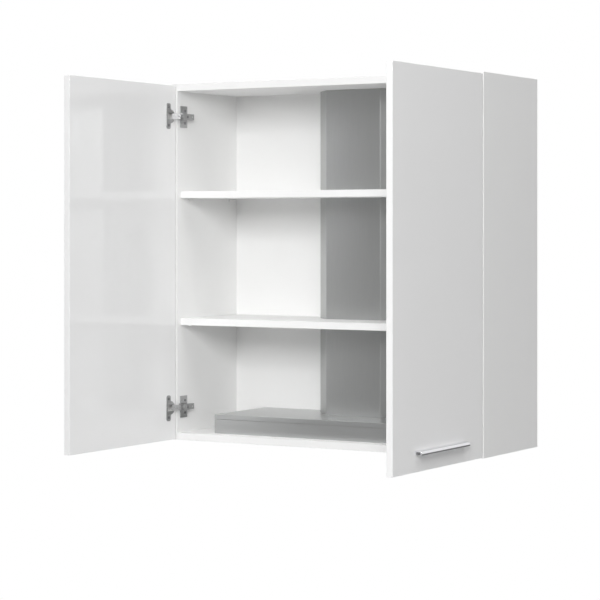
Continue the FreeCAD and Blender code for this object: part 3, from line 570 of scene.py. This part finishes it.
def woven_mesh(side):
    """Two layers of wire cloth, the second set off by half a gap: long wires woven through cross wires."""
    low, high = (np.array(corner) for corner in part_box("filter_mesh_" + side))
    middle, half = (low + high) / 2, (high - low) / 2
    points, quads, first = [], [], 0
    for layer, shift in ((-layer_height, 0.0), (layer_height, mesh_pitch / 2)):
        for turned_over, reach, width in ((False, half[0], half[1]), (True, half[1], half[0])):
            count = int(2 * (width - mesh_pitch) / mesh_pitch) + 1
            start = -(count - 1) * mesh_pitch / 2 + shift
            cloth = wires(count, (-reach, start), (reach, start + (count - 1) * mesh_pitch),
                          int(2 * wire_samples * reach / mesh_pitch) + 1)
            if turned_over:
                cloth = cloth[..., (1, 0, 2)] * (1, 1, -1)
            points.append((cloth + middle + (0, 0, layer)).reshape(-1, 3))
            corner = np.arange(cloth[..., 0].size).reshape(cloth.shape[:3])
            walls = ring_quads(*cloth.shape[:3])[:, ::-1]
            quads.append(np.concatenate((walls, corner[:, 0, ::-1], corner[:, -1])) + first)
            first += len(points[-1])
    add_piece("wire_cloth_" + side, np.concatenate(points), np.concatenate(quads).tolist(), aluminium,
              side + "_filter", "filter_aluminium", "filter_mesh_" + side)


aluminium = plated_steel("filter_aluminium", filter_grey, 0.34)
for side in sides:
    softened("pressed_frame_" + side, "filter_frame_" + side, frame_softness, aluminium,
             side + "_filter", "filter_aluminium")
    woven_mesh(side)

# Lamps: two round lamps pushed up through the tray, each with a frosted lens.
# Four push buttons stand beside the right lamp in one switch box.
plastic_black = (0.028, 0.028, 0.03)
plastic_worn = 1.12
worn_patches = 45.0
plastic_gloss_patches = 300.0
plastic_smoother, plastic_rougher = 0.05, 0.08
plastic_grain, plastic_grain_strength, plastic_grain_depth = 2600.0, 0.25, 0.0002
lens_white = (0.84, 0.84, 0.80)
lens_clear = 0.25
lens_gloss = (0.26, 0.40)
lens_gloss_patches = 900.0
lens_radius, lens_thick = 17.0, 1.2
lens_waves, lens_wave_depth = 10, 0.25
lens_rings, lens_columns = 61, 64
button_radius, button_flange, button_dish = 4.0, 1.5, 0.7
button_rings, button_columns = 9, 40
ring_softness = 0.5


def moulded_plastic(name, colour, roughness):
    """Moulded plastic with a fine even grain."""
    finish, tree, shader = new_finish(name, colour, roughness)
    paint(tree, shader, blend_colours(tree, noise(tree, worn_patches), colour, toned(colour, plastic_worn)))
    patches = noise(tree, plastic_gloss_patches)
    vary_gloss(tree, shader, patches, roughness - plastic_smoother, roughness + plastic_rougher)
    emboss(tree, shader, noise(tree, plastic_grain, 2.0), plastic_grain_strength, plastic_grain_depth)
    return finish


def push_button(name):
    """A turned button: a dished face, a soft rim, a straight side and a flange that keeps it in."""
    low, high = (np.array(corner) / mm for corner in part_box(name))
    tall, wide, radius = high[2] - low[2], (high[0] - low[0]) / 2, button_radius
    reach = np.linspace(0, 1, button_rings)
    dish = np.stack((0.78 * radius * reach, -button_dish * (1 - reach * reach)), -1)
    rim = [(0.88 * radius, 0), (0.96 * radius, -0.15), (radius, -0.6)]
    back = [(radius, button_flange - tall), (wide, button_flange - tall), (wide, -tall), (0, -tall)]
    cap = turned(np.concatenate((dish, rim, back)), button_columns)
    foot = (low + high) / 2 * mm
    foot[2] = low[2] * mm
    stand_each("cap_of_" + name, cap, [(foot, (0, 0, -1))], black_plastic, "push_" + name,
               "dark_plastic", name)


def frosted_glass():
    """A frosted lens, milky with a satin face."""
    finish, tree, shader = new_finish("frosted_lens", lens_white, 0.32)
    shader.inputs["Transmission Weight"].default_value = lens_clear
    vary_gloss(tree, shader, noise(tree, lens_gloss_patches), *lens_gloss)
    return finish


def ribbed_lenses():
    """Pressed lenses turned about their axes: rings of small waves on the face that looks down."""
    reach = np.linspace(0, 1, lens_rings)
    wave = -lens_wave_depth * (1 - np.cos(2 * np.pi * lens_waves * reach)) / 2
    face = np.stack((0.96 * lens_radius * reach, wave), -1)
    back = [(lens_radius, -0.3), (lens_radius, -lens_thick), (0, -lens_thick)]
    lens = turned(np.concatenate((face, back)), lens_columns)
    places = []
    for solid in solids_of("lamp_lenses"):
        low, high = span(solid)
        foot = (low + high) / 2
        foot[2] = low[2]
        places.append((foot, (0, 0, -1)))
    stand_each("ribbed_lenses", lens, places, frosted_glass(), "cabinet", "lamp_glass", "lamp_lenses")


black_plastic = moulded_plastic("black_plastic", plastic_black, 0.42)
dress(black_plastic, "switch_box")
for side in sides:
    softened("lamp_ring_" + side, "lamp_" + side, ring_softness, black_plastic, "cabinet", "dark_plastic")
for number in range(1, 5):
    push_button("button_%d" % number)
ribbed_lenses()

# Blower and duct: a drum fan in a plastic casing with its motor, a pipe up through the chimney,
# and a collar on the top panel with two non-return flaps.
fan_grey = (0.10, 0.105, 0.11)
duct_grey = (0.42, 0.43, 0.44)
motor_black = (0.03, 0.03, 0.032)
fan_plastic = moulded_plastic("fan_plastic", fan_grey, 0.5)
duct_plastic = moulded_plastic("duct_plastic", duct_grey, 0.45)
dress(fan_plastic, "fan_housing", "fan_impeller")
dress(zinc, "fan_shaft")
dress(moulded_plastic("motor_paint", motor_black, 0.35), "fan_motor")
dress(duct_plastic, "exhaust_pipe", "duct_collar", "flap_front", "flap_rear")

# Chimney: one sheet of brushed stainless, folded with chamfered front corners and rear flanges.
# It stands on the hood's lid and covers the duct up to the top panel.
# The chimney's steel is the same stainless as the hood's, darkened by its tone: painted shade.
chimney_steel = brushed_steel("chimney_steel", stretch=(1, 1, 0.02), roughness=0.34, painted_light_tone=0.87)
softened("folded_chimney", "chimney", fold_softness, chimney_steel, "cabinet", "hood_steel")

# Cup hinges: pressed nickel plated steel, two to a door. A wing plate is screwed to the side,
# an arm is clamped on it, and a link joins the arm to the cup in the door.
nickel_grey = (0.50, 0.50, 0.505)
painted_shade_screw_grey = (0.26, 0.26, 0.265)
# The pale colour inside the cups is painted light in their hollows.
cup_painted_light = (0.78, 0.78, 0.77)
cup_gloss = (0.22, 0.36)
flange_play = 0.0002
cup_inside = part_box("door_right")[0].x + flange_play
press_softness = 0.35


def nickel_painted_light_inside():
    """Nickel outside; deeper than the door's inner face the cup is pale and not metallic: painted light."""
    finish, tree, shader = new_finish("nickel_painted_light_inside", nickel_grey, 0.28, 1.0)
    outward = reckon(tree, "ABSOLUTE", along_axis(tree, place(tree), "X"))
    inside = reckon(tree, "GREATER_THAN", outward, cup_inside)
    paint(tree, shader, blend_colours(tree, inside, clouded(tree, nickel_grey), cup_painted_light))
    tree.links.new(spread(tree, inside, 1.0, 0.0), shader.inputs["Metallic"])
    vary_gloss(tree, shader, noise(tree, plating_gloss_patches), *cup_gloss)
    return finish


nickel = plated_steel("nickel_plate", nickel_grey, 0.28)
cup_nickel = nickel_painted_light_inside()
# The hinge screws are made dark grey: painted shade at the screws.
painted_shade_screws = plated_steel("painted_shade_screw_steel", painted_shade_screw_grey, 0.36)
for side in sides:
    for part, body, finish in (("plates_", "cabinet", nickel), ("arms_", "cabinet", nickel),
                               ("cups_", side + "_door", cup_nickel)):
        softened("pressed_hinge_" + part + side, "hinge_" + part + side, press_softness, finish, body,
                 "hinge_steel")
    dress(nickel, "hinge_links_" + side)
    dress(zinc, "hinge_arm_pins_" + side, "hinge_door_pins_" + side)
    screws("cup_screws_" + side, painted_shade_screws, side + "_door", "hinge_cup_screws_" + side)
screws("plate_screws", painted_shade_screws, "cabinet", "hinge_plate_screws")

# Doors: 16 mm board with a high gloss white lacquer on every face and softened edges.
# The handle's screws sit flush in the inner face.
lacquer_white = (0.91, 0.91, 0.91)
lacquer_shade = 0.985
lacquer_patches = 7.0
lacquer_gloss = (0.03, 0.07)
lacquer_gloss_patches = 40.0
peel_scale, peel_strength, peel_depth = 160.0, 0.02, 0.0004


def gloss_lacquer():
    """White lacquer, nearly a mirror, with a faint orange peel."""
    finish, tree, shader = new_finish("gloss_lacquer", lacquer_white, 0.05)
    shade = toned(lacquer_white, lacquer_shade)
    paint(tree, shader, blend_colours(tree, noise(tree, lacquer_patches), lacquer_white, shade))
    vary_gloss(tree, shader, noise(tree, lacquer_gloss_patches), *lacquer_gloss)
    emboss(tree, shader, noise(tree, peel_scale, 1.0), peel_strength, peel_depth)
    return finish


dress(gloss_lacquer(), "door_left", "door_right", "handle_screws_left", "handle_screws_right")

# Handles: a polished ledge with a round nose, open below, near the lower edge of each door.
# Fingers hook behind its lip, which carries a dark grey strip: painted shade under the lip.
# Dark plastic plugs close the hollow's ends as painted shade; screws through the door hold two bosses.
pull_grey = (0.80, 0.80, 0.82)
painted_shade_grey = (0.11, 0.11, 0.115)
nose, plate, flange, lip, soft = 8.0, 3.0, 4.0, 4.0, 1.0
end_rows, end_inset = np.array((0, 0.15, 0.4)), np.array((0.4, 0.12, 0))
middle_rows = np.linspace(0.02, 0.98, 13)
strip_low, strip_tall, strip_proud, strip_deep, strip_soft = 0.2, 3.1, 0.25, 1.2, 0.3
plug_gap, plug_low, plug_soft = 1.5, -8.0, 1.4
plug_rows, plug_inset = np.array((0.5, 0.7, 1.2, 5.0)), np.array((0.5, 0.15, 0.0, 0.0))
boss_profile = [(0, 11), (2.0, 11), (3.1, 10.8), (3.6, 10.2), (3.6, 0.5), (0, 0.5)]


def corner_arc(middle, radius, start, end, steps=6):
    """Points round a corner, from one angle to another in degrees."""
    turn = np.radians(np.linspace(start, end, steps))
    return np.array(middle) + radius * np.stack((np.cos(turn), np.sin(turn)), -1)


def carried(section, stations, inset):
    """A closed section of (reach, height) pairs carried along Y, with an inset at each station.

    An inset moves each point against its own outward normal, so a softened end stays inside the section.
    """
    ahead, behind = np.roll(section, -1, 0), np.roll(section, 1, 0)
    along = (ahead - behind) / np.linalg.norm(ahead - behind, axis=1)[:, None]
    outward = np.stack((along[:, 1], -along[:, 0]), -1)
    rows = section[None] - inset[:, None, None] * outward[None]
    return np.stack((rows[..., 0], np.broadcast_to(stations[:, None], rows.shape[:2]), rows[..., 1]), -1)


def pull(side):
    """Shell, dark strip and dark end plugs (painted shade): one section each, carried along the handle's
    length.
    """
    low, high = (np.array(corner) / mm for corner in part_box("handle_" + side))
    reach, length, tall = high - low
    facing_out = 1 if side == "right" else -1
    face_at = low[0] if side == "right" else high[0]

    def made(name, section, stations, inset, finish, slot, *replaced):
        """A carried section with both ends closed; on the left its faces are turned over."""
        rows = carried(section, stations, inset) * (facing_out, 1, 1) + (face_at, low[1], high[2])
        count, around = rows.shape[:2]
        first_ring, last_ring = list(range(around)), list(range((count - 1) * around, count * around))
        faces = ring_quads(1, count, around).tolist() + [first_ring, last_ring[::-1]]
        faces = [face[::facing_out] for face in faces]
        add_piece(name + side, rows * mm, faces, finish, side + "_door", slot, *replaced)

    front = corner_arc((reach - nose, -nose), nose, 90, 0, 20)
    heel = corner_arc((reach - soft, soft - tall), soft, 0, -90)
    inside = corner_arc((reach - lip + soft, soft - tall), soft, -90, -180)
    hollow = np.concatenate((corner_arc((reach - lip - soft, -plate - soft), soft, 0, 90),
                             corner_arc((flange + soft, -plate - soft), soft, 90, 180)))
    foot = corner_arc((flange - soft, soft - tall), soft, 0, -90)
    shell = np.concatenate(([(0, 0)], front, heel, inside, hollow, foot, [(0, -tall)]))[::-1]
    stations = np.concatenate((end_rows, middle_rows * length, length - end_rows[::-1]))
    inset = np.concatenate((end_inset, 0 * middle_rows, end_inset[::-1]))
    made("pull_", shell, stations, inset, polished, "handle_metal", "handle_" + side)

    bottom, edge = strip_low - tall, reach + strip_proud - strip_soft
    strip = np.concatenate((corner_arc((edge, bottom + strip_soft), strip_soft, -90, 0),
                            corner_arc((edge, bottom + strip_tall - strip_soft), strip_soft, 0, 90),
                            [(reach - strip_deep, bottom + strip_tall), (reach - strip_deep, bottom)]))
    made("painted_shade_strip_", strip, stations, inset, painted_shade_plastic, "dark_plastic")

    near, far, upper = flange + plug_gap, reach - lip - plug_gap, -plate - plug_gap
    plug = np.concatenate((corner_arc((near, plug_low), plug_soft, 180, 270),
                           corner_arc((far, plug_low), plug_soft, 270, 360),
                           corner_arc((far, upper), plug_soft, 0, 90),
                           corner_arc((near, upper), plug_soft, 90, 180)))
    made("near_plug_", plug, plug_rows, plug_inset, painted_shade_plastic, "dark_plastic")
    made("far_plug_", plug, length - plug_rows[::-1], plug_inset[::-1], painted_shade_plastic, "dark_plastic")


def pull_bosses(side):
    """Bosses inside the pull that take the screws: turned, with a soft end."""
    places = []
    for solid in solids_of("handle_screws_" + side):
        low, high = span(solid)
        out = np.sign(low[0])
        foot = (low + high) / 2
        foot[0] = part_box("handle_" + side)[0 if out > 0 else 1].x
        places.append((foot, (out, 0, 0)))
    stand_each("pull_bosses_" + side, turned(boss_profile), places, polished, side + "_door",
               "handle_metal")


polished = plated_steel("polished_metal", pull_grey, 0.12)
# The strip and the end plugs are dark grey: painted shade under the lip and inside the hollow.
painted_shade_plastic = moulded_plastic("painted_shade_plastic", painted_shade_grey, 0.5)
for side in sides:
    pull(side)
    pull_bosses(side)

# Studio: a pale floor far below the hanging cabinet, white surroundings, a soft lamp above the
# camera, a broad one in front, one high on the right and one behind. The camera stands to the right.
# Each lamp is given by its turn to the right and its rise in degrees, its size in metres and its power.
pure_white = (1, 1, 1, 1)
floor_pale = (0.88, 0.88, 0.88, 1)
floor_height = -1.45
floor_half = 9.0
floor_shade = 0.12
shade_near = 1.0
shade_far = 4.0
ambient = 0.11
lamp_aim = (0.0, -0.2, 0.5)
lamp_distance = 5.5
lamps = {"key_lamp": (26.0, 15.0, 1.5, 162.0), "front_lamp": (0.0, 35.0, 3.0, 56.0),
         "high_lamp": (60.0, 60.0, 3.0, 106.0), "rear_lamp": (218.0, 30.0, 3.0, 85.0)}
card_turn, card_distance, card_width, card_height, card_grey = -19.0, 3.0, 2.7, 3.6, 0.245
first_reflection = 1.5
camera_place = (2.643231, -4.769021, 0.554019)
camera_turn = 29.799
camera_lens = 125.24
camera_sensor = 36.0
camera_shift = (-0.0850, -0.1240)


def bare_tree(owner):
    """The emptied node tree of a material or a world."""
    owner.use_nodes = True
    owner.node_tree.nodes.clear()
    return owner.node_tree


def either_shader(tree, factor, first, second):
    """The first shader where the factor is 0, and the second where it is 1."""
    mix = add_node(tree, "ShaderNodeMixShader")
    for socket, source in zip(mix.inputs, (factor, first, second)):
        tree.links.new(source, socket)
    return mix.outputs[0]


def seen_straight(tree):
    """1 for rays that the camera sends straight, or off metal and through glass."""
    rays = add_node(tree, "ShaderNodeLightPath").outputs
    shown = reckon(tree, "MAXIMUM", rays["Is Camera Ray"], rays["Is Glossy Ray"])
    return reckon(tree, "MAXIMUM", shown, rays["Is Transmission Ray"])


def white_surroundings():
    """A world that is plain white to look at and softer as a light."""
    world = bpy.data.worlds.new("studio")
    tree = bare_tree(world)
    light = add_node(tree, "ShaderNodeBackground", Color=pure_white, Strength=ambient)
    white = add_node(tree, "ShaderNodeBackground", Color=pure_white, Strength=1.0)
    output = add_node(tree, "ShaderNodeOutputWorld")
    shown = either_shader(tree, seen_straight(tree), light.outputs[0], white.outputs[0])
    tree.links.new(shown, output.inputs["Surface"])
    bpy.context.scene.world = world


def floor_finish():
    """Pale floor: white to look at, with a share of its own shade near the middle, and clear from below."""
    finish = bpy.data.materials.new("studio_floor")
    tree = bare_tree(finish)
    matt = add_node(tree, "ShaderNodeBsdfDiffuse", Color=floor_pale)
    white = add_node(tree, "ShaderNodeEmission", Color=pure_white, Strength=1.0)
    clear = add_node(tree, "ShaderNodeBsdfTransparent")
    distance = add_node(tree, "ShaderNodeVectorMath", {"operation": "LENGTH"})
    tree.links.new(place(tree, (1, 1, 0)), distance.inputs[0])
    whiteness = add_node(tree, "ShaderNodeMapRange", From_Min=shade_near, From_Max=shade_far,
                         To_Min=1 - floor_shade)
    tree.links.new(distance.outputs["Value"], whiteness.inputs["Value"])
    share = reckon(tree, "MULTIPLY", seen_straight(tree), whiteness.outputs["Result"])
    top = either_shader(tree, share, matt.outputs[0], white.outputs[0])
    below = add_node(tree, "ShaderNodeNewGeometry").outputs["Backfacing"]
    output = add_node(tree, "ShaderNodeOutputMaterial")
    tree.links.new(either_shader(tree, below, top, clear.outputs[0]), output.inputs["Surface"])
    return finish


def card_finish():
    """Grey that only the first reflection off metal and gloss shows; every other ray passes through."""
    finish = bpy.data.materials.new("grey_card")
    tree = bare_tree(finish)
    grey = add_node(tree, "ShaderNodeEmission", Color=pure_white, Strength=card_grey)
    clear = add_node(tree, "ShaderNodeBsdfTransparent")
    rays = add_node(tree, "ShaderNodeLightPath").outputs
    first = reckon(tree, "LESS_THAN", rays["Ray Depth"], first_reflection)
    shown = reckon(tree, "MULTIPLY", first, rays["Is Glossy Ray"])
    output = add_node(tree, "ShaderNodeOutputMaterial")
    tree.links.new(either_shader(tree, shown, clear.outputs[0], grey.outputs[0]), output.inputs["Surface"])
    return finish


def stage_sheet(name, middle, across, up, finish):
    """A flat sheet of the studio: its middle, plus and minus one half-width and one half-height."""
    corner = np.array(((-1, -1), (1, -1), (1, 1), (-1, 1)))
    mesh = bpy.data.meshes.new(name)
    mesh.from_pydata((np.array(middle) + corner @ np.array((across, up))).tolist(), [], [(0, 1, 2, 3)])
    mesh.materials.append(finish)
    sheet = bpy.data.objects.new(name, mesh)
    bpy.context.scene.collection.objects.link(sheet)


def grey_card():
    """An upright card, turned to face the object."""
    turn = math.radians(card_turn)
    middle = np.array(lamp_aim) + card_distance * np.array((math.sin(turn), -math.cos(turn), 0))
    across = np.array((math.cos(turn), math.sin(turn), 0)) * card_width / 2
    stage_sheet("grey_card", middle, across, (0, 0, card_height / 2), card_finish())


def soft_lamp(name, turn, rise, size, power):
    """A square lamp that faces the aim, turned to the right of straight ahead and raised."""
    data = bpy.data.lights.new(name, "AREA")
    data.size = size
    data.energy = power
    lamp = bpy.data.objects.new(name, data)
    turn, rise = math.radians(turn), math.radians(rise)
    reach = np.array((math.cos(rise) * math.sin(turn), -math.cos(rise) * math.cos(turn), math.sin(rise)))
    lamp.location = np.array(lamp_aim) + lamp_distance * reach
    lamp.rotation_euler = (math.pi / 2 - rise, 0, turn)
    bpy.context.scene.collection.objects.link(lamp)


white_surroundings()
stage_sheet("studio_floor", (0, 0, floor_height), (floor_half, 0, 0), (0, floor_half, 0), floor_finish())
grey_card()
for lamp_name, setting in lamps.items():
    soft_lamp(lamp_name, *setting)

lens = bpy.data.cameras.new("camera")
lens.lens = camera_lens
lens.sensor_width = camera_sensor
lens.shift_x, lens.shift_y = camera_shift
camera = bpy.data.objects.new("camera", lens)
camera.location = camera_place
camera.rotation_euler = (math.radians(90), 0, math.radians(camera_turn))
bpy.context.scene.collection.objects.link(camera)
bpy.context.scene.camera = camera
bpy.context.scene.view_settings.view_transform = "Standard"
